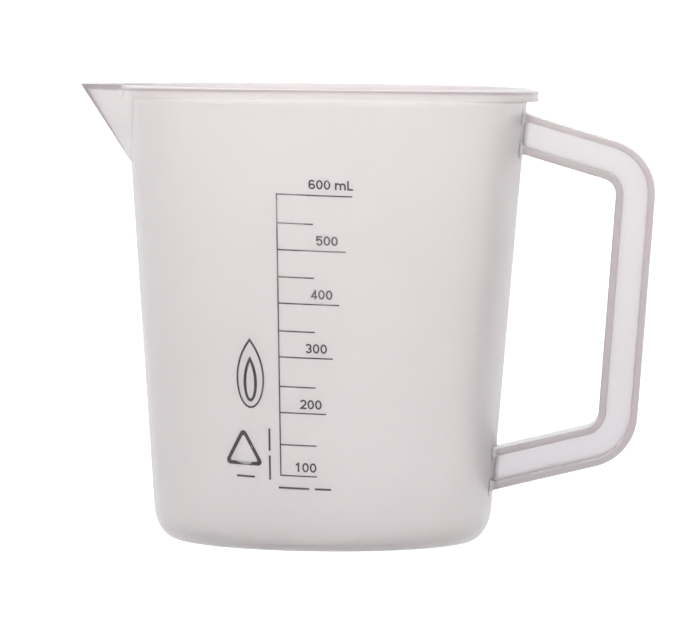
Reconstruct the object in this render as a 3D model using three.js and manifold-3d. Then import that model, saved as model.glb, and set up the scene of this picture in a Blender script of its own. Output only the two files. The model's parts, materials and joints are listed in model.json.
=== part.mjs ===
// A 600 mL plastic measuring beaker with a V spout, a ribbed handle and a printed scale.
// Millimetres, +Z up. The origin is the centre of the underside, +X points to the handle,
// -X to the spout, and the printed scale faces -Y.
import * as THREE from "three";
import { ConvexGeometry } from "three/addons/geometries/ConvexGeometry.js";
import { mergeVertices } from "three/addons/utils/BufferGeometryUtils.js";
import Module from "manifold-3d";

const wasm = await Module();
wasm.setup();
const { degToRad } = THREE.MathUtils;

// ---- Driving dimensions ----

// Vessel: a cone that widens upwards, with a rounded corner down to a flat base.
const HEIGHT = 120;
const FOOT_RADIUS = 44.1; // the outer cone carried down to the base plane
const WALL_LEAN = degToRad(4.33);
const WALL = 1.6;
const FLOOR = 2.6;
const BASE_CORNER = { width: 6.3, height: 9.6 }; // a quarter ellipse between floor and wall
const INNER_CORNER = { width: 4, height: 5.6 }; // the same corner inside the vessel

// Rim: a flat collar round the mouth, open where the spout leaves.
const COLLAR_RADIUS = 56;
const COLLAR_THICKNESS = 3.4; // from the rim down to its flat underside
const COLLAR_SLOPE = 0.9; // its top falls this far from the wall to its outer edge
const COLLAR_CHAMFER = 0.3;

// Spout: two panels that meet in a straight keel.
const SPOUT_REACH = 65.5; // axis to tip, at the rim
const KEEL_FOOT = 98.9; // height at which the keel leaves the wall
const SPOUT_HALF_ANGLE = degToRad(21.5); // half the mouth that the spout takes of the rim
const SPOUT_ROOT_POWER = 0.38; // how fast the root widens above the foot
const SPOUT_SHIFT = 1.6; // inner faces are the outer ones moved this far towards the axis

// Handle: a web with a flange along its outer edge and one round the finger opening.
const HANDLE_START = 40; // both arms are drawn from here and cut off at the wall
const ARM_REFERENCE = 50; // distance from the axis at which the arm heights are given
const TOP_ARM_HEIGHT = 114.2;
const TOP_ARM_FALL = degToRad(16.2);
const LOWER_ARM_HEIGHT = 15.2;
const LOWER_ARM_RISE = degToRad(13.9);
const GRIP_HEIGHT = 60; // height at which the grip's reach is given
const GRIP_REACH = 84.95;
const GRIP_LEAN = degToRad(3.8);
const HANDLE_DEPTH = 10.35; // outer edge to finger opening, all the way round
const HANDLE_CORNER = 14.5;
const HANDLE_WIDTH = 16;
const FLANGE = 1.8;
const WEB = 2.2;

// Scale: the height above the base of the middle of each mark, in millilitres. The print is
// approximate: each mark lies within three per cent of what the vessel holds up to it.
const MARK_HEIGHTS = new Map([
  [100, 20.1],
  [150, 28.1],
  [200, 36.4],
  [250, 43.2],
  [300, 50.8],
  [350, 57.6],
  [400, 64.7],
  [450, 71.6],
  [500, 78.5],
  [550, 85.5],
  [600, 92.8],
]);
const FIRST_VOLUME = 100;
const LAST_VOLUME = 600;
const NUMBERED_STEP = 100; // the marks at these steps are long and carry a numeral
const SCALE_BEARING = degToRad(-11.15); // from -Y towards +X, at the scale's upright line
const SCALE_LEAN = degToRad(0.4); // the print leans to the left going up
const SCALE_FALL = degToRad(1.6); // and its level lines fall to the right
const SHORT_MARK = 9.6; // the lowest mark is short too
const LONG_MARK_BASE = 8.4; // a long mark is this plus a step for every 100 mL
const LONG_MARK_STEP = 1.9;
const LINE_WIDTH = 0.34;
const BEND_LENGTH = 2.5; // longest piece of a line that stays straight on the round wall
const INK = 0.12; // thickness of the printed layer
const INK_CLEARANCE = 0.1; // between the wall and the underside of the ink

// Numerals. Each stands above its level line and starts a little further out than the one below.
const CAP_HEIGHT = 2.45;
const GLYPH_WIDTH = 1.72;
const GLYPH_STROKE = 0.42;
const GLYPH_ADVANCE = 1.95;
const GLYPH_INSET = 0.3; // how far slanted strokes and feet stay inside the glyph's left edge
const NUMERAL_LIFT = 0.95; // level line to the foot of the numeral, plus a step for every 100 mL
const NUMERAL_LIFT_STEP = 0.11;
const NUMERAL_START = 2.1; // upright line to the numeral, plus a step for every 100 mL
const NUMERAL_STEP = 1.6;
const TOP_NUMERAL_START = 8.4;
const UNIT_SPACE = 0.95; // extra space between the top numeral and its unit
const M_WIDTH = 2.8;
const M_ADVANCE = 3.15;
const X_HEIGHT = 0.74 * CAP_HEIGHT;

// Plain marks beside the scale: x along the wall from the upright line, heights above the base.
const DROPS = {
  drop_mark_outer: { x: -8, foot: 37.2, width: 7.8, height: 18.2, line: 0.5 },
  drop_mark_inner: { x: -8, foot: 38.9, width: 3.8, height: 11.8, line: 0.8 },
};
const DROP_BELLY = 0.42; // height of a drop's widest place, as a share of its own height
const DROP_SHOULDER = 0.74; // and of the point that its sides bend towards
const DROP_TIP = 1.8; // how many line widths thicker a drop's tip is
const TRIANGLE = { x: -10.2, foot: 22.3, side: 11.6, line: 0.95, corner: 1, innerCorner: 0.3 };
const LEVEL_DASHES = {
  dash_below_triangle: { x: -12.3, y: 19.4, length: 5.2 },
  dash_below_scale_long: { x: -0.6, y: 17, length: 8 },
  dash_below_scale_short: { x: 8.8, y: 17, length: 4.2 },
};
const UPRIGHT_DASHES = {
  dash_beside_scale_upper: { x: -2.9, low: 26.4, high: 32.2 },
  dash_beside_scale_lower: { x: -2.9, low: 18.9, high: 25.2 },
};
const DASH_WIDTH = 0.5;

const JOINT_GAP = 0.3; // between pieces that are moulded together
const ROUND_SEGMENTS = 72;
const CORNER_STEPS = 4; // pairs of facets in the quarter ellipse of a base corner

// ---- Materials ----

const polypropylene = new THREE.MeshStandardMaterial({
  name: "polypropylene",
  color: "#ddd5d4",
  roughness: 0.42,
  metalness: 0,
});
const ink = new THREE.MeshStandardMaterial({
  name: "ink",
  color: "#2f2a30",
  roughness: 0.6,
  metalness: 0,
});

// ---- Solids ----

// A closed three.js geometry as a solid that can be joined and cut.
function solidOf(geometry) {
  const bare = geometry.clone();
  bare.deleteAttribute("normal");
  bare.deleteAttribute("uv");
  const merged = mergeVertices(bare, 1e-4);
  return new wasm.Manifold(
    new wasm.Mesh({
      numProp: 3,
      vertProperties: merged.attributes.position.array,
      triVerts: new Uint32Array(merged.index.array),
    }),
  );
}

function geometryOf(solid) {
  const mesh = solid.getMesh();
  const geometry = new THREE.BufferGeometry();
  geometry.setAttribute("position", new THREE.BufferAttribute(mesh.vertProperties, 3));
  geometry.setIndex(new THREE.BufferAttribute(mesh.triVerts, 1));
  geometry.computeVertexNormals();
  return geometry;
}

function meshOf(name, geometry, material) {
  const mesh = new THREE.Mesh(geometry, material);
  mesh.name = name;
  return mesh;
}

// A profile of (radius, height) points turned round the Z axis.
function turned(points) {
  return new THREE.LatheGeometry(points, ROUND_SEGMENTS).rotateX(Math.PI / 2);
}

// ---- Vessel ----

const taper = Math.tan(WALL_LEAN);

function outerRadius(height) {
  return FOOT_RADIUS + taper * height;
}


function innerWallRadius(height) {
  return outerRadius(height) - WALL / Math.cos(WALL_LEAN);
}

// Half of the base and the wall up to the rim, from the axis outwards. The corner is a quarter
// ellipse that stands on the floor and touches the leaning wall.
function halfProfile(bottom, corner, wallRadius) {
  const middle = bottom + corner.height;
  const centre = wallRadius(middle) - Math.hypot(corner.width, taper * corner.height);
  const touch = Math.atan((taper * corner.height) / corner.width);
  const path = new THREE.Path();
  path.moveTo(0, bottom);
  path.lineTo(centre, bottom);
  path.absellipse(centre, middle, corner.width, corner.height, -Math.PI / 2, -touch, false, 0);
  path.lineTo(wallRadius(HEIGHT), HEIGHT);
  return path.getPoints(CORNER_STEPS);
}

function vesselShell() {
  const outside = halfProfile(0, BASE_CORNER, outerRadius);
  const inside = halfProfile(FLOOR, INNER_CORNER, innerWallRadius);
  return solidOf(turned([...outside, ...inside.reverse()]));
}

// The outer cone, swollen by a gap and carried past both ends, to cut other pieces off at the wall.
function wallCutter(gap) {
  const overrun = 20;
  const cone = new THREE.CylinderGeometry(
    outerRadius(HEIGHT + overrun) + gap,
    outerRadius(-overrun) + gap,
    HEIGHT + 2 * overrun,
    ROUND_SEGMENTS,
  );
  return solidOf(cone.rotateX(Math.PI / 2).translate(0, 0, HEIGHT / 2));
}

// ---- Spout ----

const keelSlope = (SPOUT_REACH - outerRadius(KEEL_FOOT)) / (HEIGHT - KEEL_FOOT);

// Hull of the keel line and of the root curve on the wall, from the keel's foot up to a height.
function spoutHull(top, shift) {
  const levels = 10;
  const points = [];
  for (let i = 0; i <= levels; i += 1) {
    const share = i / levels;
    const height = KEEL_FOOT + (top - KEEL_FOOT) * share * share;
    const rise = (height - KEEL_FOOT) / (HEIGHT - KEEL_FOOT);
    const angle = SPOUT_HALF_ANGLE * rise ** SPOUT_ROOT_POWER;
    const root = outerRadius(height) - WALL / 2;
    const keel = outerRadius(KEEL_FOOT) + keelSlope * (height - KEEL_FOOT);
    points.push(new THREE.Vector3(shift - keel, 0, height));
    points.push(new THREE.Vector3(shift - root * Math.cos(angle), root * Math.sin(angle), height));
    points.push(new THREE.Vector3(shift - root * Math.cos(angle), -root * Math.sin(angle), height));
  }
  return solidOf(new ConvexGeometry(points));
}

const mouthCutter = spoutHull(HEIGHT + 3, SPOUT_SHIFT);

function pouringSpout() {
  return spoutHull(HEIGHT, 0).subtract(mouthCutter).subtract(wallCutter(JOINT_GAP));
}

// ---- Rim collar ----

function rimCollar() {
  const under = HEIGHT - COLLAR_THICKNESS;
  const profile = [
    [outerRadius(under) + JOINT_GAP, under],
    [COLLAR_RADIUS - COLLAR_CHAMFER, under],
    [COLLAR_RADIUS, under + COLLAR_CHAMFER],
    [COLLAR_RADIUS, HEIGHT - COLLAR_SLOPE],
    [outerRadius(HEIGHT) + JOINT_GAP, HEIGHT],
  ].map(([radius, height]) => new THREE.Vector2(radius, height));
  const ring = solidOf(turned([...profile, profile[0]]));
  return ring.subtract(spoutHull(HEIGHT + 3, -JOINT_GAP));
}

// ---- Handle ----

// The three straight runs of the outer edge, in travel order: out along the top arm, down the
// grip, back along the lower arm. The finger opening is on the right-hand side of each.
const handleRuns = [
  {
    through: new THREE.Vector2(ARM_REFERENCE, TOP_ARM_HEIGHT),
    along: new THREE.Vector2(Math.cos(TOP_ARM_FALL), -Math.sin(TOP_ARM_FALL)),
  },
  {
    through: new THREE.Vector2(GRIP_REACH, GRIP_HEIGHT),
    along: new THREE.Vector2(-Math.sin(GRIP_LEAN), -Math.cos(GRIP_LEAN)),
  },
  {
    through: new THREE.Vector2(ARM_REFERENCE, LOWER_ARM_HEIGHT),
    along: new THREE.Vector2(-Math.cos(LOWER_ARM_RISE), -Math.sin(LOWER_ARM_RISE)),
  },
];

function rightOf(direction) {
  return new THREE.Vector2(direction.y, -direction.x);
}

function shifted(run, offset) {
  const through = run.through.clone().addScaledVector(rightOf(run.along), offset);
  return { through, along: run.along };
}

function crossing(first, second) {
  const between = second.through.clone().sub(first.through);
  const distance = between.cross(second.along) / first.along.cross(second.along);
  return first.through.clone().addScaledVector(first.along, distance);
}

function pointAtReach(run, reach) {
  const distance = (reach - run.through.x) / run.along.x;
  return run.through.clone().addScaledVector(run.along, distance);
}

// The outer edge moved towards the finger opening by an offset, with its two corners rounded.
function handleEdge(offset) {
  const runs = handleRuns.map((run) => shifted(run, offset));
  const radius = HANDLE_CORNER - offset;
  const path = new THREE.Path();
  const start = pointAtReach(runs[0], HANDLE_START);
  path.moveTo(start.x, start.y);
  for (const [first, second] of [[runs[0], runs[1]], [runs[1], runs[2]]]) {
    const turn = Math.acos(first.along.dot(second.along));
    const touch = crossing(first, second);
    touch.addScaledVector(first.along, -radius * Math.tan(turn / 2));
    path.lineTo(touch.x, touch.y);
    const inward = rightOf(first.along);
    const centre = touch.clone().addScaledVector(inward, radius);
    const from = inward.clone().negate().angle();
    path.absarc(centre.x, centre.y, radius, from, from - turn, true);
  }
  const end = pointAtReach(runs[2], HANDLE_START);
  path.lineTo(end.x, end.y);
  return path.getPoints(4);
}

// A strip of the handle between two offsets, centred on the XZ plane and cut off at the wall.
function handleStrip(from, to, width) {
  const shape = new THREE.Shape([...handleEdge(from), ...handleEdge(to).reverse()]);
  const plate = new THREE.ExtrudeGeometry(shape, { depth: width, bevelEnabled: false });
  plate.translate(0, 0, -width / 2).rotateX(Math.PI / 2);
  return solidOf(plate).subtract(wallCutter(JOINT_GAP));
}

// ---- Print ----

// Bends a flat piece of print onto the cone. In the flat piece x runs along the wall from the
// scale's upright line, y is the height above the base, and z is the depth of the ink.
const leanCentre = (MARK_HEIGHTS.get(FIRST_VOLUME) + MARK_HEIGHTS.get(LAST_VOLUME)) / 2;

function bentOnWall(solid) {
  const geometry = geometryOf(solid);
  const position = geometry.attributes.position;
  for (let i = 0; i < position.count; i += 1) {
    const flatX = position.getX(i);
    const flatY = position.getY(i);
    const height = flatY - flatX * Math.tan(SCALE_FALL);
    const along = flatX - (height - leanCentre) * Math.tan(SCALE_LEAN);
    const bearing = SCALE_BEARING + along / outerRadius(height);
    const radius = outerRadius(height) + INK_CLEARANCE + position.getZ(i);
    position.setXYZ(i, radius * Math.sin(bearing), -radius * Math.cos(bearing), height);
  }
  geometry.computeVertexNormals();
  return geometry;
}

// A level bar of ink, cut into short lengths so that it can follow the wall round.
function bar(x, y, length, width) {
  const pieces = Math.ceil(length / BEND_LENGTH);
  const box = new THREE.BoxGeometry(length, width, INK, pieces, 1, 1);
  return solidOf(box.translate(x + length / 2, y, INK / 2));
}

function upright(x, low, high, width) {
  const box = new THREE.BoxGeometry(width, high - low, INK);
  return solidOf(box.translate(x, (low + high) / 2, INK / 2));
}

function markLength(volume) {
  const isLong = volume % NUMBERED_STEP === 0 && volume > FIRST_VOLUME;
  return isLong ? LONG_MARK_BASE + LONG_MARK_STEP * (volume / 100) : SHORT_MARK;
}

// Height at which a mark leaves the upright line, so that its middle lies at its own height.
function markRoot(volume) {
  return MARK_HEIGHTS.get(volume) + (markLength(volume) / 2) * Math.tan(SCALE_FALL);
}

function graduationScale() {
  const overhang = LINE_WIDTH / 2;
  const low = markRoot(FIRST_VOLUME) - overhang;
  const high = markRoot(LAST_VOLUME) + overhang;
  let comb = upright(0, low, high, LINE_WIDTH);
  for (const volume of MARK_HEIGHTS.keys()) {
    comb = comb.add(bar(-overhang, markRoot(volume), markLength(volume), LINE_WIDTH));
  }
  return comb;
}

// An even stroke along a line of points, with mitred corners and square ends.
function stroke(points, width = GLYPH_STROKE) {
  const left = [];
  const right = [];
  points.forEach((point, i) => {
    const before = points[Math.max(i - 1, 0)];
    const after = points[Math.min(i + 1, points.length - 1)];
    const incoming = point.clone().sub(before).normalize();
    const outgoing = after.clone().sub(point).normalize();
    if (i === 0) incoming.copy(outgoing);
    if (i === points.length - 1) outgoing.copy(incoming);
    const normal = rightOf(incoming.clone().add(outgoing).normalize());
    const reach = width / 2 / normal.dot(rightOf(incoming));
    right.push(point.clone().addScaledVector(normal, reach));
    left.push(point.clone().addScaledVector(normal, -reach));
  });
  return inkShape(new THREE.Shape([...right, ...left.reverse()]));
}

function inkShape(shape) {
  return solidOf(new THREE.ExtrudeGeometry(shape, { depth: INK, bevelEnabled: false, curveSegments: 12 }));
}

function polyline(...pairs) {
  return pairs.map(([x, y]) => new THREE.Vector2(x, y));
}

// Points of an arc, with angles in degrees.
function arc(x, y, radiusX, radiusY, from, to) {
  const curve = new THREE.EllipseCurve(x, y, radiusX, radiusY, degToRad(from), degToRad(to), to < from);
  return curve.getPoints(10);
}

function ring(x, y, radiusX, radiusY, width = GLYPH_STROKE) {
  const shape = new THREE.Shape();
  shape.absellipse(x, y, radiusX, radiusY, 0, 2 * Math.PI, false);
  const hole = new THREE.Path();
  hole.absellipse(x, y, radiusX - width, radiusY - width, 0, 2 * Math.PI, true);
  shape.holes.push(hole);
  return inkShape(shape);
}

// Glyphs stand on y = 0 with their left edge at x = 0.
const half = GLYPH_STROKE / 2;
const middle = GLYPH_WIDTH / 2;
const bowl = middle - half; // radius of a bowl's centre line
const head = CAP_HEIGHT - half; // centre line of a stroke along the top

const glyphs = {
  0: () => ring(middle, CAP_HEIGHT / 2, middle, CAP_HEIGHT / 2),
  1: () => {
    const stem = middle + half / 2;
    return stroke(polyline([GLYPH_INSET, X_HEIGHT], [stem, head], [stem, 0]));
  },
  2: () => {
    const crown = arc(middle, head - bowl, bowl, bowl, 165, -35);
    return stroke([...crown, ...polyline([GLYPH_INSET, half], [GLYPH_WIDTH, half])]);
  },
  3: () => {
    const upper = 0.22 * CAP_HEIGHT;
    const lower = (CAP_HEIGHT - GLYPH_STROKE) / 2 - upper;
    const above = arc(middle, head - upper, 0.92 * bowl, upper, 160, -90);
    const below = arc(middle, half + lower, bowl, lower, 90, -160);
    return stroke(above).add(stroke(below));
  },
  4: () => {
    const stem = 0.72 * GLYPH_WIDTH;
    const shelf = 0.27 * CAP_HEIGHT;
    const slope = polyline([stem, head], [GLYPH_INSET, shelf], [GLYPH_WIDTH, shelf]);
    return stroke(slope).add(stroke(polyline([stem, 0], [stem, CAP_HEIGHT])));
  },
  5: () => {
    const waist = 0.46 * CAP_HEIGHT;
    const flag = polyline([GLYPH_WIDTH - half / 2, head], [GLYPH_INSET, head], [half, waist]);
    const belly = arc(middle, half + bowl, bowl, 1.12 * bowl, 140, -160);
    return stroke(flag).add(stroke(belly));
  },
  6: () => {
    const lower = 0.31 * CAP_HEIGHT;
    const hook = arc(middle, head - bowl, bowl, bowl, 30, 180);
    return ring(middle, lower, middle, lower).add(stroke([...hook, ...polyline([half, lower])]));
  },
  m: () => {
    const pitch = (M_WIDTH - GLYPH_STROKE) / 2;
    const arch = pitch / 2;
    let letter = stroke(polyline([half, 0], [half, X_HEIGHT]));
    for (const x of [half, half + pitch]) {
      const crown = arc(x + arch, X_HEIGHT - half - arch, arch, arch, 180, 0);
      letter = letter.add(stroke([...crown, ...polyline([x + pitch, 0])]));
    }
    return letter;
  },
  L: () => stroke(polyline([half, CAP_HEIGHT], [half, half], [GLYPH_WIDTH - half, half])),
};

function glyphMesh(name, character, x, foot) {
  return meshOf(name, bentOnWall(glyphs[character]().translate([x, foot, 0])), ink);
}

function numeralMeshes(volume) {
  const hundreds = volume / 100;
  const isTop = volume === LAST_VOLUME;
  const start = isTop ? TOP_NUMERAL_START : NUMERAL_START + NUMERAL_STEP * hundreds;
  const foot = markRoot(volume) + NUMERAL_LIFT + NUMERAL_LIFT_STEP * hundreds;
  const digits = [...String(volume)];
  const meshes = digits.map((digit, i) =>
    glyphMesh("numeral_" + volume + "_" + (i + 1), digit, start + i * GLYPH_ADVANCE, foot),
  );
  if (isTop) {
    const unit = start + digits.length * GLYPH_ADVANCE + UNIT_SPACE;
    meshes.push(glyphMesh("unit_m", "m", unit, foot));
    meshes.push(glyphMesh("unit_L", "L", unit + M_ADVANCE, foot));
  }
  return meshes;
}

// A drop with a pointed tip, and a thinner one inside it cut out.
function dropOutline(x, foot, width, height) {
  const radius = width / 2;
  const belly = DROP_BELLY * height;
  const shoulder = foot + DROP_SHOULDER * height;
  const shape = new THREE.Shape();
  shape.moveTo(x, foot + height);
  shape.quadraticCurveTo(x - radius, shoulder, x - radius, foot + belly);
  shape.absellipse(x, foot + belly, radius, belly, Math.PI, 2 * Math.PI, false);
  shape.quadraticCurveTo(x + radius, shoulder, x, foot + height);
  return shape;
}

function dropMark({ x, foot, width, height, line }) {
  const innerHeight = height - (1 + DROP_TIP) * line;
  const inside = dropOutline(x, foot + line, width - 2 * line, innerHeight);
  return inkShape(dropOutline(x, foot, width, height)).subtract(inkShape(inside));
}

// An even-sided triangle that stands on one side, with rounded corners.
function triangleOutline(x, foot, side, corner) {
  const shape = new THREE.Shape();
  const reach = side / Math.sqrt(3) - 2 * corner; // centre of the triangle to centre of a corner
  const centre = side / Math.sqrt(12);
  for (const towards of [90, 210, 330].map(degToRad)) {
    const cornerX = x + reach * Math.cos(towards);
    const cornerY = foot + centre + reach * Math.sin(towards);
    shape.absarc(cornerX, cornerY, corner, towards - Math.PI / 3, towards + Math.PI / 3, false);
  }
  shape.closePath();
  return new THREE.Shape(shape.getSpacedPoints(Math.ceil(4 * side)));
}

function triangleMark({ x, foot, side, line, corner, innerCorner }) {
  const innerSide = side - 2 * line * Math.sqrt(3);
  const inside = triangleOutline(x, foot + line, innerSide, innerCorner);
  return inkShape(triangleOutline(x, foot, side, corner)).subtract(inkShape(inside));
}

function plainMarks() {
  const flat = { triangle_mark: triangleMark(TRIANGLE) };
  for (const [name, size] of Object.entries(DROPS)) flat[name] = dropMark(size);
  for (const [name, { x, y, length }] of Object.entries(LEVEL_DASHES)) {
    flat[name] = bar(x, y, length, DASH_WIDTH);
  }
  for (const [name, { x, low, high }] of Object.entries(UPRIGHT_DASHES)) {
    flat[name] = upright(x, low, high, DASH_WIDTH);
  }
  return Object.entries(flat).map(([name, solid]) => meshOf(name, bentOnWall(solid), ink));
}

// ---- Assembly ----

const moulding = new THREE.Group();
moulding.add(
  meshOf("vessel", geometryOf(vesselShell().subtract(mouthCutter)), polypropylene),
  meshOf("rim_collar", geometryOf(rimCollar()), polypropylene),
  meshOf("pouring_spout", geometryOf(pouringSpout()), polypropylene),
  meshOf("handle_outer_flange", geometryOf(handleStrip(0, FLANGE, HANDLE_WIDTH)), polypropylene),
  meshOf(
    "handle_inner_flange",
    geometryOf(handleStrip(HANDLE_DEPTH - FLANGE, HANDLE_DEPTH, HANDLE_WIDTH)),
    polypropylene,
  ),
  meshOf(
    "handle_web",
    geometryOf(handleStrip(FLANGE + JOINT_GAP, HANDLE_DEPTH - FLANGE - JOINT_GAP, WEB)),
    polypropylene,
  ),
);

const print = new THREE.Group();
print.add(meshOf("graduation_scale", bentOnWall(graduationScale()), ink));
for (let volume = FIRST_VOLUME; volume <= LAST_VOLUME; volume += NUMBERED_STEP) {
  print.add(...numeralMeshes(volume));
}
print.add(...plainMarks());

const beaker = new THREE.Group();
beaker.add(moulding, print);

export default beaker;
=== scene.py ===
"""A translucent plastic measuring beaker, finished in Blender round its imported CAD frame.

Metres throughout. The frame stands on z = 0 with its axis on Z, its handle towards +X, its spout
towards -X and its printed scale towards -Y.
"""

import json
import math

import bpy
import numpy as np
from mathutils import Matrix, Vector


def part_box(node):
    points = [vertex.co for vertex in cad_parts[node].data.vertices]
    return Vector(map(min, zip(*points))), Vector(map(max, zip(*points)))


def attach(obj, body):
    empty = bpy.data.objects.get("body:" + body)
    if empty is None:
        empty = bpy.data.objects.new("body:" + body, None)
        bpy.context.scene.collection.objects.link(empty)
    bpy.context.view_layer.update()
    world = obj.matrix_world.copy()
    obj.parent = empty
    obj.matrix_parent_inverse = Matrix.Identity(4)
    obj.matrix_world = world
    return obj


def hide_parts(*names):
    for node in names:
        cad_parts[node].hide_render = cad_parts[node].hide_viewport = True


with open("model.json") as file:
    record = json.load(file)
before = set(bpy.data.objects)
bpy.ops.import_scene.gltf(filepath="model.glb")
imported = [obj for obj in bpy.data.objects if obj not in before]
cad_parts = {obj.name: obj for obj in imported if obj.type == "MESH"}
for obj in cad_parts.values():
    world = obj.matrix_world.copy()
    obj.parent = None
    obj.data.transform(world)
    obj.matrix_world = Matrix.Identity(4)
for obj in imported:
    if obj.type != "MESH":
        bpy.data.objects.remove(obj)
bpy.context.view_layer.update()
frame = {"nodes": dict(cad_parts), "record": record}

MM = 0.001

# ---- Sizes: taken from the frame where a node's box gives them ----

vessel_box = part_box("vessel")
collar_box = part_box("rim_collar")
spout_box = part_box("pouring_spout")
outer_flange_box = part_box("handle_outer_flange")
web_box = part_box("handle_web")

HEIGHT = vessel_box[1].z
RIM_RADIUS = vessel_box[1].y  # outer wall at the rim
COLLAR_RADIUS = collar_box[1].y
COLLAR_UNDERSIDE = collar_box[0].z
SPOUT_REACH = -spout_box[0].x
HANDLE_WIDTH = outer_flange_box[1].y - outer_flange_box[0].y
WEB = web_box[1].y - web_box[0].y

# The rest repeats the driving dimensions of the design.
WALL_LEAN = math.radians(4.33)
WALL = 1.6 * MM
FLOOR = 2.6 * MM
BASE_CORNER = (6.3 * MM, 9.6 * MM)  # width and height of a quarter ellipse
INNER_CORNER = (4.0 * MM, 5.6 * MM)
KEEL_FOOT = 98.9 * MM
SPOUT_HALF_ANGLE = math.radians(21.5)
SPOUT_ROOT_POWER = 0.38
COLLAR_SLOPE = 0.9 * MM
COLLAR_LIFT = 0.75 * MM  # how much less the collar's outer edge falls at the front and back
SPOUT_SHIFT = 1.6 * MM
ARM_REFERENCE = 50 * MM
TOP_ARM_HEIGHT = 114.2 * MM
TOP_ARM_FALL = math.radians(16.2)
LOWER_ARM_HEIGHT = 15.2 * MM
LOWER_ARM_RISE = math.radians(13.9)
GRIP_HEIGHT = 60 * MM
GRIP_REACH = 84.95 * MM
GRIP_LEAN = math.radians(3.8)
HANDLE_DEPTH = 10.35 * MM
HANDLE_CORNER = 14.5 * MM
FLANGE = 1.8 * MM

TAPER = math.tan(WALL_LEAN)


def outer_radius(z):
    return RIM_RADIUS + TAPER * (z - HEIGHT)


def inner_radius(z):
    return outer_radius(z) - WALL / math.cos(WALL_LEAN)


# ---- Mesh helpers ----


def mesh_object(name, points, faces, material):
    mesh = bpy.data.meshes.new(name)
    mesh.from_pydata([tuple(p) for p in points], [], faces)
    mesh.validate()
    mesh.shade_smooth()
    mesh.materials.append(material)
    piece = bpy.data.objects.new(name, mesh)
    bpy.context.scene.collection.objects.link(piece)
    return piece


def ring_faces(rings, around, first=0):
    """Quads between successive rings of the same number of points."""
    faces = []
    for i in range(rings - 1):
        low = first + i * around
        high = low + around
        for j in range(around):
            k = (j + 1) % around
            faces.append((low + j, low + k, high + k, high + j))
    return faces


def soft_max(value, floor, blend):
    """The larger of two values, with the change-over rounded."""
    gap = value - floor
    return floor + 0.5 * (gap + np.sqrt(gap * gap + blend * blend))


def smooth_step(low, high, value):
    t = np.clip((value - low) / (high - low), 0.0, 1.0)
    return t * t * (3 - 2 * t)


# ---- Vessel, collar and spout: one closed skin ----

# Widths of the painted shade lines at the rim's edge, the keel and the spout's roots, and how they
# fade out.
RIM_LINE = 0.8 * MM
RIM_BAND = (1.4 * MM, 0.3 * MM)  # inside the collar's edge: no painted shade, and full painted shade
KEEL_LINE = 2.4 * MM
KEEL_FADE = 0.03  # share of the spout's height over which the keel's line comes in
ROOT_LINE = 0.9 * MM
ROOT_FADE = 0.1
ROOT_SHARE = 0.6  # strength of the painted shade at the spout's roots, against the rim's and the keel's
SKIN_DEPTH = (-0.6 * MM, -0.1 * MM)  # only the outside carries the painted shade: none, and full

KEEL_ROUNDING = math.radians(0.2)
ROOT_BLEND = 0.5 * MM
LEAST_RISE = 1e-4  # keeps the root's width above nothing at the keel's foot
COLUMNS = 320
COLUMN_CROWDING = 1.45  # above 1, columns crowd together at the spout
WALL_ROWS = 14
SPOUT_ROWS = 22
SPOUT_CROWDING = 1.6  # above 1, rows crowd together at the keel's foot
BASE_CORNER_STEPS = 18
INNER_CORNER_STEPS = 14

# Angles from the spout's middle between which the collar's underside runs out.
COLLAR_END_NEAR = math.radians(12.5)
COLLAR_END_FAR = math.radians(21.0)
COLLAR_RUN_OUT = 1.9 * MM
COLLAR_BLEND = 0.05 * MM


def column_angles():
    """Angles from the spout's middle, all the way round, closest together at the spout."""
    t = np.arange(COLUMNS) / COLUMNS * 2 - 1
    return np.pi * np.sign(t) * np.abs(t) ** COLUMN_CROWDING


def panel_radius(angle, z, inward):
    """Distance from the axis to the spout's panel, moved inward, along each angle."""
    rise = np.maximum((z - KEEL_FOOT) / (HEIGHT - KEEL_FOOT), LEAST_RISE)
    half = SPOUT_HALF_ANGLE * rise**SPOUT_ROOT_POWER
    foot_radius = outer_radius(KEEL_FOOT)
    keel = foot_radius + (SPOUT_REACH - foot_radius) * rise - inward
    root = outer_radius(z)
    root_x = root * np.cos(half) - inward
    root_y = root * np.sin(half)
    turned = np.sqrt(angle**2 + KEEL_ROUNDING**2)
    keel = keel * (1 + KEEL_ROUNDING * (keel - root_x) / root_y)
    inside = np.minimum(turned, half)
    panel = keel * root_y / (np.cos(inside) * root_y - np.sin(inside) * (root_x - keel))
    lean = np.arctan2(keel - root_x, root_y)
    return panel - root * np.tan(lean - half) * (turned - inside)


def skin_radius(angle, z, wall_radius, inward):
    """The wall, bulged out to the spout's panels above the keel's foot."""
    panel = panel_radius(angle, z, inward)
    rise = np.clip((z - KEEL_FOOT) / (HEIGHT - KEEL_FOOT), 0.0, 1.0)
    blend = ROOT_BLEND * np.sqrt(rise)
    return np.where(z > KEEL_FOOT, soft_max(panel, wall_radius, blend), wall_radius)


def corner_points(bottom, corner, wall_radius, steps):
    """Radius and height along a quarter ellipse that stands on the floor and touches the wall."""
    width, height = corner
    middle = bottom + height
    centre = wall_radius(middle) - math.hypot(width, TAPER * height)
    turns = np.linspace(-math.pi / 2, -math.atan(TAPER * height / width), steps)
    return [(centre + width * math.cos(t), middle + height * math.sin(t)) for t in turns]


def wall_levels():
    """Heights between the base corner and the collar, close together where the spout begins."""
    low = np.linspace(BASE_CORNER[1] + 2 * MM, KEEL_FOOT - 3 * MM, WALL_ROWS)
    share = np.linspace(0, 1, SPOUT_ROWS)
    spout = KEEL_FOOT + (COLLAR_UNDERSIDE - 1.2 * MM - KEEL_FOOT) * share**SPOUT_CROWDING
    return np.concatenate([low, [KEEL_FOOT - 1 * MM], spout])


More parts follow.
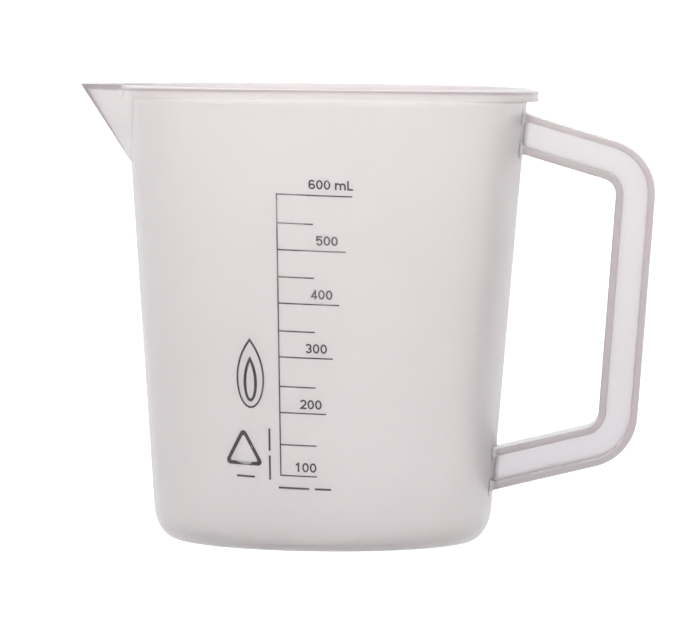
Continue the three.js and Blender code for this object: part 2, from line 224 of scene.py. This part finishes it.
# The underside is guessed: a shallow recess inside the foot ring, and a moulding gate.
FOOT_RING = 30 * MM
RECESS = 0.7 * MM
GATE_RADIUS = 2 * MM
GATE_DROP = 0.35 * MM

# Radius and height of the recessed underside, from the moulding gate outwards.
UNDERSIDE = [
    (0.8 * MM, RECESS - GATE_DROP),
    (1.7 * MM, RECESS - GATE_DROP),
    (GATE_RADIUS, RECESS - 0.2 * GATE_DROP),
    (2.4 * MM, RECESS),
    (10 * MM, RECESS),
    (20 * MM, RECESS),
    (FOOT_RING - 1.6 * MM, RECESS),
    (FOOT_RING - 1.1 * MM, 0.88 * RECESS),
    (FOOT_RING - 0.5 * MM, 0.12 * RECESS),
    (FOOT_RING, 0.0),
    (FOOT_RING + 3 * MM, 0.0),
]

# The collar's section: drop below its underside, and how far it stands out, from 0 to 1.
COLLAR_SECTION = [
    (-0.5 * MM, 0.0),
    (-0.25 * MM, 0.03),
    (-0.08 * MM, 0.08),
    (0.0, 0.2),
    (0.0, 0.55),
    (0.0, 0.88),
    (0.05 * MM, 0.96),
    (0.2 * MM, 1.0),
]
# Its upper outer edge: depth below the edge, and how far it stands out.
COLLAR_EDGE = [
    (0.9 * MM, 1.0),
    (0.55 * MM, 1.0),
    (0.25 * MM, 1.0),
    (0.1 * MM, 0.995),
    (0.02 * MM, 0.97),
]
# Its sloping top: how far each row stands out.
COLLAR_TOP = [0.9, 0.55, 0.2, 0.08]

LIP_OUTER = 0.2 * MM  # the flat of the lip starts this far inside the wall's outer face
LIP_INNER = 0.3 * MM  # and ends this far outside its inner face
LIP_CORNER = (0.08 * MM, 0.12 * MM)  # in from the inner face, and down
LIP_DROP = 0.4 * MM
INSIDE_TOP = 1.5 * MM
FLOOR_RINGS = (30 * MM, 20 * MM, 10 * MM, 2 * MM)


def collar_slope(sideways):
    """Fall of the collar's top; the moulding has pulled its front and back up a little."""
    return COLLAR_SLOPE - COLLAR_LIFT * sideways**2


def skin_profile(angle):
    """Radius and height of every profile point, for all the columns at once."""
    rows = []

    def add(radius, z):
        rows.append((np.broadcast_to(radius, angle.shape), np.broadcast_to(z, angle.shape)))

    def outside(z):
        return skin_radius(angle, z, outer_radius(z), 0.0)

    def inside(z):
        return skin_radius(angle, z, inner_radius(z), SPOUT_SHIFT)

    def stand_out(base, share):
        return base + share * (soft_max(COLLAR_RADIUS, base, COLLAR_BLEND) - base)

    for radius, z in UNDERSIDE:
        add(radius, z)
    for radius, z in corner_points(0.0, BASE_CORNER, outer_radius, BASE_CORNER_STEPS):
        add(radius, z)
    for z in wall_levels():
        add(outside(z), z)
    run_out = COLLAR_RUN_OUT * (1 - smooth_step(COLLAR_END_NEAR, COLLAR_END_FAR, np.abs(angle)))
    slope = collar_slope(np.sin(angle))
    for rise, share in COLLAR_SECTION:
        underside = COLLAR_UNDERSIDE + COLLAR_SLOPE - slope + run_out + rise
        z = np.minimum(underside, HEIGHT - slope - MM)
        add(stand_out(outside(z), share), z)
    for depth, share in COLLAR_EDGE:
        z = HEIGHT - slope - depth
        add(stand_out(outside(z), share), z)
    for share in COLLAR_TOP:
        z = HEIGHT - slope * share
        add(stand_out(outside(z), share), z)
    lip = inside(HEIGHT)
    add(outside(HEIGHT) - LIP_OUTER, HEIGHT)
    add(0.5 * (lip + outside(HEIGHT)), HEIGHT)
    add(lip + LIP_INNER, HEIGHT)
    add(lip + LIP_CORNER[0], HEIGHT - LIP_CORNER[1])
    add(inside(HEIGHT - LIP_DROP), HEIGHT - LIP_DROP)
    for z in [HEIGHT - INSIDE_TOP, *wall_levels()[::-1]]:
        add(inside(z), z)
    for radius, z in corner_points(FLOOR, INNER_CORNER, inner_radius, INNER_CORNER_STEPS)[::-1]:
        add(radius, z)
    for radius in FLOOR_RINGS:
        add(radius, FLOOR)
    return rows


def painted_edge_shade_lines(points):
    """From 0 to 1, how much painted shade each point gets, in dark lines at the rim's edge, the keel
    and the spout's roots.
    """
    x, y, z = np.array(points).T
    radius = np.hypot(x, y)
    turned = np.abs(np.arctan2(y, -x))
    outside = smooth_step(*SKIN_DEPTH, radius - outer_radius(z))
    rise = np.clip((z - KEEL_FOOT) / (HEIGHT - KEEL_FOOT), 0.0, 1.0)
    below_edge = HEIGHT - collar_slope(y / np.maximum(radius, MM)) - z
    rim = smooth_step(RIM_LINE, 0.4 * RIM_LINE, below_edge)
    rim = rim * smooth_step(COLLAR_RADIUS - RIM_BAND[0], COLLAR_RADIUS - RIM_BAND[1], radius)
    keel = smooth_step(KEEL_LINE, 0.5 * KEEL_LINE, np.abs(y)) * (x < 0)
    keel = keel * smooth_step(0.0, KEEL_FADE, rise)
    from_root = (turned - SPOUT_HALF_ANGLE * rise**SPOUT_ROOT_POWER) * radius
    root = np.exp(-((from_root / ROOT_LINE) ** 2)) * smooth_step(0.0, ROOT_FADE, rise)
    return outside * np.maximum(np.maximum(rim, keel), ROOT_SHARE * root)


def build_vessel(material):
    angle = column_angles()
    rows = skin_profile(angle)
    points = []
    for radius, z in rows:
        points.extend(zip(-radius * np.cos(angle), -radius * np.sin(angle), z))
    faces = ring_faces(len(rows), COLUMNS)
    last = (len(rows) - 1) * COLUMNS
    under = len(points)
    points.append((0.0, 0.0, RECESS - GATE_DROP))
    points.append((0.0, 0.0, FLOOR))
    for j in range(COLUMNS):
        k = (j + 1) % COLUMNS
        faces.append((under, k, j))
        faces.append((under + 1, last + j, last + k))
    vessel = mesh_object("vessel_skin", points, faces, material)
    # Painted shade: the dark lines along the rim's edge, keel and spout roots, carried on the mesh
    # for the material.
    painted_edge_shade = vessel.data.attributes.new("painted_edge_shade", "FLOAT", "POINT")
    painted_edge_shade.data.foreach_set("value", painted_edge_shade_lines(points).astype(np.float32))
    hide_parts("vessel", "rim_collar", "pouring_spout")
    return vessel


# ---- Handle: an I section swept round the grip ----

EDGE_ROUNDING = 0.4 * MM
POCKET_EDGE = 0.15 * MM
POCKET_FILLET = 0.15 * MM
ROOT_FILLET = 1.4 * MM
ROOT_CLEARANCE = 0.03 * MM  # the end faces stay this far off the wall; the next ring lies on it
SHEEN_FACING = (0.6, 0.95)  # how squarely a face looks along the depth: clear, and milky, as painted sheen
POCKET_SIDE = 0.6 * FLANGE  # deeper than this below an outer face, a point faces the pocket
EDGE_SHEEN_MILKINESS = 0.25  # milkiness of the outer faces, a weaker painted sheen
ROUNDING_STEPS = 4
ROUNDING_SHOULDER = 0.25  # straight run kept beside each rounding, as a share of its radius
TOP_ARM_RINGS = 5
CORNER_RINGS = 20
GRIP_RINGS = 10
LOWER_ARM_RINGS = 6


def rounded_loop(corners):
    """A closed loop of (depth, across) points whose corners are rounded by their own radius."""
    loop = []
    count = len(corners)
    for i, (x, y, radius) in enumerate(corners):
        here = np.array([x, y])
        before = np.array(corners[i - 1][:2]) - here
        after = np.array(corners[(i + 1) % count][:2]) - here
        before /= np.linalg.norm(before)
        after /= np.linalg.norm(after)
        start = here + before * radius
        end = here + after * radius
        loop.append(start + before * ROUNDING_SHOULDER * radius)
        for j in range(ROUNDING_STEPS + 1):
            turn = math.pi / 2 * j / ROUNDING_STEPS
            bend = before * (1 - math.sin(turn)) + after * (1 - math.cos(turn))
            loop.append(here + radius * bend)
        loop.append(end + after * ROUNDING_SHOULDER * radius)
    return np.array(loop)


def handle_section():
    half = HANDLE_WIDTH / 2
    web = WEB / 2
    near = HANDLE_DEPTH - FLANGE
    edge = EDGE_ROUNDING
    pocket = POCKET_FILLET
    side = [
        (0.0, half, edge),
        (FLANGE, half, POCKET_EDGE),
        (FLANGE, web, pocket),
        (near, web, pocket),
        (near, half, POCKET_EDGE),
        (HANDLE_DEPTH, half, edge),
    ]
    other = [(depth, -across, radius) for depth, across, radius in reversed(side)]
    return rounded_loop(side + other)


def loop_normals(loop):
    """Outward normals of a closed loop, with both neighbours weighed alike."""
    ahead = np.roll(loop, -1, axis=0) - loop
    behind = loop - np.roll(loop, 1, axis=0)
    ahead /= np.linalg.norm(ahead, axis=1)[:, None]
    behind /= np.linalg.norm(behind, axis=1)[:, None]
    along = ahead + behind
    along /= np.linalg.norm(along, axis=1)[:, None]
    normal = np.stack([along[:, 1], -along[:, 0]], axis=1)
    area = np.sum(loop[:, 0] * np.roll(loop[:, 1], -1) - np.roll(loop[:, 0], -1) * loop[:, 1])
    return normal * np.sign(area)


def handle_runs():
    """Point and direction of the outer edge's three straight runs, in travel order."""
    return [
        (
            np.array([ARM_REFERENCE, TOP_ARM_HEIGHT]),
            np.array([math.cos(TOP_ARM_FALL), -math.sin(TOP_ARM_FALL)]),
        ),
        (
            np.array([GRIP_REACH, GRIP_HEIGHT]),
            np.array([-math.sin(GRIP_LEAN), -math.cos(GRIP_LEAN)]),
        ),
        (
            np.array([ARM_REFERENCE, LOWER_ARM_HEIGHT]),
            np.array([-math.cos(LOWER_ARM_RISE), -math.sin(LOWER_ARM_RISE)]),
        ),
    ]


def right_of(direction):
    return np.array([direction[1], -direction[0]])


def cross_2d(a, b):
    return a[0] * b[1] - a[1] * b[0]


def corner_touches(first, second):
    """Where a rounded corner leaves the first run, its centre, and the angle it turns through."""
    distance = cross_2d(second[0] - first[0], second[1]) / cross_2d(first[1], second[1])
    turn = math.acos(float(first[1] @ second[1]))
    touch = first[0] + first[1] * (distance - HANDLE_CORNER * math.tan(turn / 2))
    return touch, touch + HANDLE_CORNER * right_of(first[1]), turn


def wall_distance(start, towards, across):
    """How far from start a straight run meets the vessel's outer wall."""
    foot = outer_radius(start[1])
    a = towards[0] ** 2 - (TAPER * towards[1]) ** 2
    b = 2 * (start[0] * towards[0] - foot * TAPER * towards[1])
    c = start[0] ** 2 + across**2 - foot**2
    return (-b - np.sqrt(b * b - 4 * a * c)) / (2 * a)


ROOT_STATIONS = np.array([0.0, 0.06, 0.16, 0.3, 0.48, 0.72, 1.0]) * ROOT_FILLET


def root_swell(distance):
    """How far the section has swollen at a distance from the wall, as a quarter-round fillet."""
    left = np.clip(ROOT_FILLET - distance, 0.0, ROOT_FILLET)
    return ROOT_FILLET - math.sqrt(ROOT_FILLET**2 - left**2)


def root_rings(loop, normals, touch, inward, towards):
    """Rings from the wall out to where the straight run ends, in order away from the wall."""
    # Only the flanges swell into a fillet: the web meets the wall as it is.
    share = smooth_step(WEB / 2, WEB / 2 + 2 * POCKET_FILLET, np.abs(loop[:, 1]))[:, None]
    rings = []
    for station in [ROOT_CLEARANCE, *ROOT_STATIONS]:
        swollen = loop + normals * share * root_swell(station)
        starts = touch[:, None] + inward[:, None] * swollen[:, 0]
        reach = wall_distance(starts, towards, swollen[:, 1]) - station
        place = starts + towards[:, None] * reach
        rings.append(np.stack([place[0], swollen[:, 1], place[1]], axis=1))
    return rings


def straight_rings(first, last, count):
    """Rings between two given ones, without either."""
    return [first + (last - first) * (i / count) for i in range(1, count)]


def turning_rings(loop, centre, inward, turn, count):
    """Rings round a corner: each is the section at one angle of the turn."""
    rings = []
    for i in range(count + 1):
        angle = -turn * i / count
        spin = np.array([[math.cos(angle), -math.sin(angle)], [math.sin(angle), math.cos(angle)]])
        facing = spin @ inward
        outer = centre - facing * HANDLE_CORNER
        place = outer[:, None] + facing[:, None] * loop[:, 0]
        rings.append(np.stack([place[0], loop[:, 1], place[1]], axis=1))
    return rings


def painted_sheen_milkiness(loop, normals):
    """From 0 to 1, how milky the section's points are: most where they face the pocket, a painted
    sheen that lightens those faces.
    """
    across = smooth_step(*SHEEN_FACING, np.abs(normals[:, 0]))
    from_edge = np.minimum(loop[:, 0], HANDLE_DEPTH - loop[:, 0])
    return across * np.where(from_edge > POCKET_SIDE, 1.0, EDGE_SHEEN_MILKINESS)


def build_handle(material):
    loop = handle_section()
    normals = loop_normals(loop)
    top, grip, lower = handle_runs()
    touch_top, centre_top, turn_top = corner_touches(top, grip)
    touch_low, centre_low, turn_low = corner_touches(grip, lower)
    first = root_rings(loop, normals, touch_top, right_of(top[1]), -top[1])
    corner_top = turning_rings(loop, centre_top, right_of(top[1]), turn_top, CORNER_RINGS)
    corner_low = turning_rings(loop, centre_low, right_of(grip[1]), turn_low, CORNER_RINGS)
    touch_end = centre_low - HANDLE_CORNER * right_of(lower[1])
    last = root_rings(loop, normals, touch_end, right_of(lower[1]), lower[1])[::-1]
    rings = [
        *first,
        *straight_rings(first[-1], corner_top[0], TOP_ARM_RINGS),
        *corner_top,
        *straight_rings(corner_top[-1], corner_low[0], GRIP_RINGS),
        *corner_low,
        *straight_rings(corner_low[-1], last[0], LOWER_ARM_RINGS),
        *last,
    ]
    around = len(loop)
    faces = [tuple(reversed(f)) for f in ring_faces(len(rings), around)]
    faces.append(tuple(range(around)))
    faces.append(tuple(reversed(range((len(rings) - 1) * around, len(rings) * around))))
    points = np.concatenate(rings)
    points[:, 0] = np.minimum(points[:, 0], outer_flange_box[1].x)
    handle = mesh_object("handle_skin", points, faces, material)
    # Painted sheen: faces looking into the pocket are made milkier, so they read lighter; both roots
    # are made milkier towards the wall.
    milky = np.tile(painted_sheen_milkiness(loop, normals), (len(rings), 1))
    root = 1 - np.append(0.0, ROOT_STATIONS / ROOT_FILLET)[:, None]
    milky[: len(first)] = np.maximum(milky[: len(first)], root)
    milky[-len(last) :] = np.maximum(milky[-len(last) :], root[::-1])
    sheen_and_root_milkiness = handle.data.attributes.new("sheen_and_root_milkiness", "FLOAT", "POINT")
    sheen_and_root_milkiness.data.foreach_set("value", milky.ravel().astype(np.float32))
    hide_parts("handle_outer_flange", "handle_inner_flange", "handle_web")
    return handle


# ---- Print: each mark laid on the wall as a thin film ----

FILM = 0.03 * MM
FILM_CLEARANCE = 0.012 * MM


def build_print(material):
    """A copy of every printed CAD node, brought down from its stand-off onto the smooth wall."""
    films = []
    slots = {part["node"]: part["material_slot"] for part in frame["record"]["subparts"]}
    for name in sorted(n for n, slot in slots.items() if slot == "ink"):
        mesh = frame["nodes"][name].data.copy()
        co = np.empty(len(mesh.vertices) * 3)
        mesh.vertices.foreach_get("co", co)
        co = co.reshape(-1, 3)
        radius = np.hypot(co[:, 0], co[:, 1])
        above = radius - outer_radius(co[:, 2])
        share = (above - above.min()) / (above.max() - above.min())
        wanted = outer_radius(co[:, 2]) + FILM_CLEARANCE + FILM * share
        co[:, :2] *= (wanted / radius)[:, None]
        mesh.vertices.foreach_set("co", co.ravel())
        mesh.materials.clear()
        mesh.materials.append(material)
        mesh.update()
        film = bpy.data.objects.new(name + "_film", mesh)
        bpy.context.scene.collection.objects.link(film)
        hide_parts(name)
        films.append(film)
    return films


# ---- Materials ----


def new_material(name):
    material = bpy.data.materials.new(name)
    material.use_nodes = True
    nodes = material.node_tree.nodes
    nodes.clear()
    output = nodes.new("ShaderNodeOutputMaterial")
    shader = nodes.new("ShaderNodeBsdfPrincipled")
    material.node_tree.links.new(shader.outputs["BSDF"], output.inputs["Surface"])
    return material, nodes, material.node_tree.links, shader


def noise(nodes, links, vector, scale, detail=2.0):
    texture = nodes.new("ShaderNodeTexNoise")
    texture.inputs["Scale"].default_value = scale
    texture.inputs["Detail"].default_value = detail
    links.new(vector, texture.inputs["Vector"])
    return texture.outputs["Fac"]


def mapped(nodes, links, value, from_low, from_high, to_low, to_high):
    node = nodes.new("ShaderNodeMapRange")
    node.inputs["From Min"].default_value = from_low
    node.inputs["From Max"].default_value = from_high
    node.inputs["To Min"].default_value = to_low
    node.inputs["To Max"].default_value = to_high
    links.new(value, node.inputs["Value"])
    return node.outputs["Result"]


def mixed(nodes, links, factor, first, second):
    node = nodes.new("ShaderNodeMix")
    node.data_type = "RGBA"
    links.new(factor, node.inputs["Factor"])
    for socket, colour in ((node.inputs[6], first), (node.inputs[7], second)):
        if isinstance(colour, bpy.types.NodeSocket):
            links.new(colour, socket)
        else:
            socket.default_value = (*colour, 1.0)
    return node.outputs[2]


def bump(nodes, links, height, distance, strength, before=None):
    node = nodes.new("ShaderNodeBump")
    node.inputs["Distance"].default_value = distance
    node.inputs["Strength"].default_value = strength
    links.new(height, node.inputs["Height"])
    if before is not None:
        links.new(before, node.inputs["Normal"])
    return node.outputs["Normal"]


def multiplied(nodes, links, first, second):
    node = nodes.new("ShaderNodeMath")
    node.operation = "MULTIPLY"
    links.new(first, node.inputs[0])
    links.new(second, node.inputs[1])
    return node.outputs[0]


def height_in(nodes, links, place):
    node = nodes.new("ShaderNodeSeparateXYZ")
    links.new(place, node.inputs["Vector"])
    return node.outputs["Z"]


def painted(nodes, name):
    """The values that the mesh carries under a name."""
    node = nodes.new("ShaderNodeAttribute")
    node.attribute_name = name
    return node.outputs["Fac"]


NOISE_SPAN = (0.3, 0.7)  # where most of a noise texture's values lie

PLASTIC_DARKER = (0.93, 0.90, 0.90)
PLASTIC_LIGHTER = (0.95, 0.92, 0.92)
# Colour of the painted shade lines at the rim's edge, keel and spout roots.
PAINTED_EDGE_SHADE_COLOUR = (0.40, 0.35, 0.38)
# Tints at the rim and at the base. The darkening towards the base is painted shade. The handle is
# the same plastic as the vessel: its darker tints and steeper darkening are painted shade too.
VESSEL_AT_RIM = (0.908, 0.913, 0.918)
VESSEL_AT_BASE = (0.88, 0.885, 0.895)
HANDLE_AT_RIM = (0.87, 0.89, 0.90)
HANDLE_AT_BASE = (0.725, 0.735, 0.76)
ROUGHNESS = (0.29, 0.34)
VESSEL_CLEAR = 0.73  # share of the light that goes straight through a face
HANDLE_CLEAR = 0.8
MILKIEST_CLEAR = 0.3  # the same where the handle is milkiest: its pocket faces, as painted sheen, and near the wall
ABSORPTION_COLOUR = (0.55, 0.40, 0.40)
VESSEL_DENSITY = 110.0
HANDLE_DENSITY = 85.0
REFRACTION = 1.49
SCATTER_RADIUS = (1.0, 0.92, 0.9)
SCATTER_SCALE = 4 * MM

CLOUD_SCALE = 22.0
CLOUD_SPAN = (0.35, 0.65)
RIPPLE_SCALE = 120.0
RIPPLE_BUMP = (0.02 * MM, 0.4)  # distance and strength
GRAIN_SCALE = 2600.0
GRAIN_BUMP = (0.01 * MM, 0.35)
PAINTED_SHADE_UNEVEN = (0.8, 1.0)


def polypropylene(name, shade_at_rim, shade_at_base, clear, absorption_density):
    material, nodes, links, shader = new_material(name)
    place = nodes.new("ShaderNodeTexCoord").outputs["Object"]
    cloud = noise(nodes, links, place, CLOUD_SCALE, detail=3.0)
    grain = noise(nodes, links, place, GRAIN_SCALE)
    ripple = noise(nodes, links, place, RIPPLE_SCALE)
    tint = mapped(nodes, links, cloud, *CLOUD_SPAN, 0.0, 1.0)
    colour = mixed(nodes, links, tint, PLASTIC_DARKER, PLASTIC_LIGHTER)
    # Painted shade: the colour darkens towards the base, by height.
    depth = mapped(nodes, links, height_in(nodes, links, place), HEIGHT, 0.0, 0.0, 1.0)
    painted_height_shade = mixed(nodes, links, depth, shade_at_rim, shade_at_base)
    product = nodes.new("ShaderNodeMix")
    product.data_type = "RGBA"
    product.blend_type = "MULTIPLY"
    product.inputs["Factor"].default_value = 1.0
    links.new(colour, product.inputs[6])
    links.new(painted_height_shade, product.inputs[7])
    # Painted shade: the dark lines carried on the mesh, made a little uneven by the cloud.
    shade_unevenness = mapped(nodes, links, cloud, *NOISE_SPAN, *PAINTED_SHADE_UNEVEN)
    painted_shade_amount = multiplied(nodes, links, painted(nodes, "painted_edge_shade"), shade_unevenness)
    colour = mixed(nodes, links, painted_shade_amount, product.outputs[2], PAINTED_EDGE_SHADE_COLOUR)
    links.new(colour, shader.inputs["Base Color"])
    links.new(mapped(nodes, links, grain, *NOISE_SPAN, *ROUGHNESS), shader.inputs["Roughness"])
    coarse = bump(nodes, links, ripple, *RIPPLE_BUMP)
    links.new(bump(nodes, links, grain, *GRAIN_BUMP, coarse), shader.inputs["Normal"])
    shader.inputs["IOR"].default_value = REFRACTION
    passed = mapped(nodes, links, painted(nodes, "sheen_and_root_milkiness"), 0.0, 1.0, clear, MILKIEST_CLEAR)
    links.new(passed, shader.inputs["Transmission Weight"])
    shader.inputs["Subsurface Weight"].default_value = 1.0
    shader.inputs["Subsurface Radius"].default_value = SCATTER_RADIUS
    shader.inputs["Subsurface Scale"].default_value = SCATTER_SCALE
    absorption = nodes.new("ShaderNodeVolumeAbsorption")
    absorption.inputs["Color"].default_value = (*ABSORPTION_COLOUR, 1.0)
    absorption.inputs["Density"].default_value = absorption_density
    output = next(node for node in nodes if node.type == "OUTPUT_MATERIAL")
    links.new(absorption.outputs["Volume"], output.inputs["Volume"])
    return material


INK = (0.022, 0.017, 0.022)
INK_THIN = (0.05, 0.042, 0.05)
INK_RUBBED = (0.30, 0.26, 0.27)
INK_ROUGHNESS = (0.45, 0.65)
PATCH_SCALE = 900.0
THIN_SPAN = (0.42, 0.6)
RUB_SCALE = 170.0
RUB_SPAN = (0.5, 0.62)
RUB_HEIGHTS = (60 * MM, 95 * MM)
RUB_SHARE = (0.15, 0.75)  # how rubbed the ink is at those heights


def printed_ink():
    material, nodes, links, shader = new_material("printed_ink")
    place = nodes.new("ShaderNodeTexCoord").outputs["Object"]
    patches = noise(nodes, links, place, PATCH_SCALE, detail=3.0)
    thin = mapped(nodes, links, patches, *THIN_SPAN, 0.0, 1.0)
    colour = mixed(nodes, links, thin, INK, INK_THIN)
    rubs = mapped(nodes, links, noise(nodes, links, place, RUB_SCALE), *RUB_SPAN, 0.0, 1.0)
    high = mapped(nodes, links, height_in(nodes, links, place), *RUB_HEIGHTS, *RUB_SHARE)
    colour = mixed(nodes, links, multiplied(nodes, links, rubs, high), colour, INK_RUBBED)
    links.new(colour, shader.inputs["Base Color"])
    links.new(mapped(nodes, links, patches, *NOISE_SPAN, *INK_ROUGHNESS), shader.inputs["Roughness"])
    return material


FLOOR_GLOW = 1.1  # the table is lit from within as well as from above
FLOOR_SPECKLE_SCALE = 40.0
FLOOR_DARKER = (0.08, 0.08, 0.08)
FLOOR_LIGHTER = (0.09, 0.09, 0.09)
FLOOR_ROUGHNESS = 0.9


def floor_material():
    material, nodes, links, shader = new_material("pale_floor")
    place = nodes.new("ShaderNodeTexCoord").outputs["Object"]
    speckle = noise(nodes, links, place, FLOOR_SPECKLE_SCALE, detail=3.0)
    colour = mixed(nodes, links, speckle, FLOOR_DARKER, FLOOR_LIGHTER)
    links.new(colour, shader.inputs["Base Color"])
    shader.inputs["Roughness"].default_value = FLOOR_ROUGHNESS
    shader.inputs["Emission Color"].default_value = (1.0, 1.0, 1.0, 1.0)
    shader.inputs["Emission Strength"].default_value = FLOOR_GLOW
    return material


# ---- Stage ----

CAMERA_DISTANCE = 1.6
CAMERA_BEARING = math.radians(3.0)  # towards the handle
CAMERA_HEIGHT = 0.14775
CAMERA_AIM = Vector((6.68 * MM, 0.0, 60.75 * MM))
CAMERA_ROLL = math.radians(0.61)
SENSOR_WIDTH = 36.0
FOCAL_LENGTH = 310.7
CAMERA_REACH = 200.0


def build_camera():
    data = bpy.data.cameras.new("camera")
    data.lens = FOCAL_LENGTH
    data.sensor_width = SENSOR_WIDTH
    data.clip_end = CAMERA_REACH
    camera = bpy.data.objects.new("camera", data)
    bpy.context.scene.collection.objects.link(camera)
    sine, cosine = math.sin(CAMERA_BEARING), math.cos(CAMERA_BEARING)
    camera.location = (CAMERA_DISTANCE * sine, -CAMERA_DISTANCE * cosine, CAMERA_HEIGHT)
    ahead = (CAMERA_AIM - camera.location).normalized()
    right = ahead.cross(Vector((0, 0, 1))).normalized()
    up = right.cross(ahead)
    level_right = right * math.cos(CAMERA_ROLL) + up * math.sin(CAMERA_ROLL)
    level_up = up * math.cos(CAMERA_ROLL) - right * math.sin(CAMERA_ROLL)
    basis = Matrix((level_right, level_up, -ahead)).transposed()
    camera.rotation_euler = basis.to_euler()
    bpy.context.scene.camera = camera


FLOOR_REACH = 60.0
FLOOR_SIDES = 96
FLOOR_DROP = 0.02 * MM  # keeps the table clear of the foot


def build_floor():
    turns = [2 * math.pi * i / FLOOR_SIDES for i in range(FLOOR_SIDES)]
    rim = [(FLOOR_REACH * math.cos(t), FLOOR_REACH * math.sin(t), 0.0) for t in turns]
    floor = mesh_object("floor", rim, [tuple(range(FLOOR_SIDES))], floor_material())
    floor.location.z = -FLOOR_DROP


def area_light(name, place, aim, size, power):
    data = bpy.data.lights.new(name, "AREA")
    data.shape = "RECTANGLE"
    data.size, data.size_y = size
    data.energy = power
    light = bpy.data.objects.new(name, data)
    bpy.context.scene.collection.objects.link(light)
    light.location = place
    light.rotation_euler = (Vector(aim) - Vector(place)).to_track_quat("-Z", "Y").to_euler()


SKY_STRENGTH = 1.4
OVERHEAD_PLACE = (0, 0.1, 0.9)
OVERHEAD_SIZE = (1.2, 1.2)
OVERHEAD_POWER = 7.0


def build_lights():
    world = bpy.data.worlds.new("studio")
    bpy.context.scene.world = world
    world.use_nodes = True
    background = world.node_tree.nodes["Background"]
    background.inputs["Color"].default_value = (1.0, 1.0, 1.0, 1.0)
    background.inputs["Strength"].default_value = SKY_STRENGTH
    middle = (0, 0, HEIGHT / 2)
    area_light("overhead", OVERHEAD_PLACE, middle, OVERHEAD_SIZE, OVERHEAD_POWER)


# ---- Assembly ----

vessel_plastic = polypropylene(
    "vessel_plastic", VESSEL_AT_RIM, VESSEL_AT_BASE, VESSEL_CLEAR, VESSEL_DENSITY
)
handle_plastic = polypropylene(
    "handle_plastic", HANDLE_AT_RIM, HANDLE_AT_BASE, HANDLE_CLEAR, HANDLE_DENSITY
)
pieces = [build_vessel(vessel_plastic), build_handle(handle_plastic)]
films = build_print(printed_ink())
for piece in pieces + films:
    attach(piece, "root")

build_floor()
build_lights()
build_camera()
bpy.context.scene.view_settings.view_transform = "Standard"
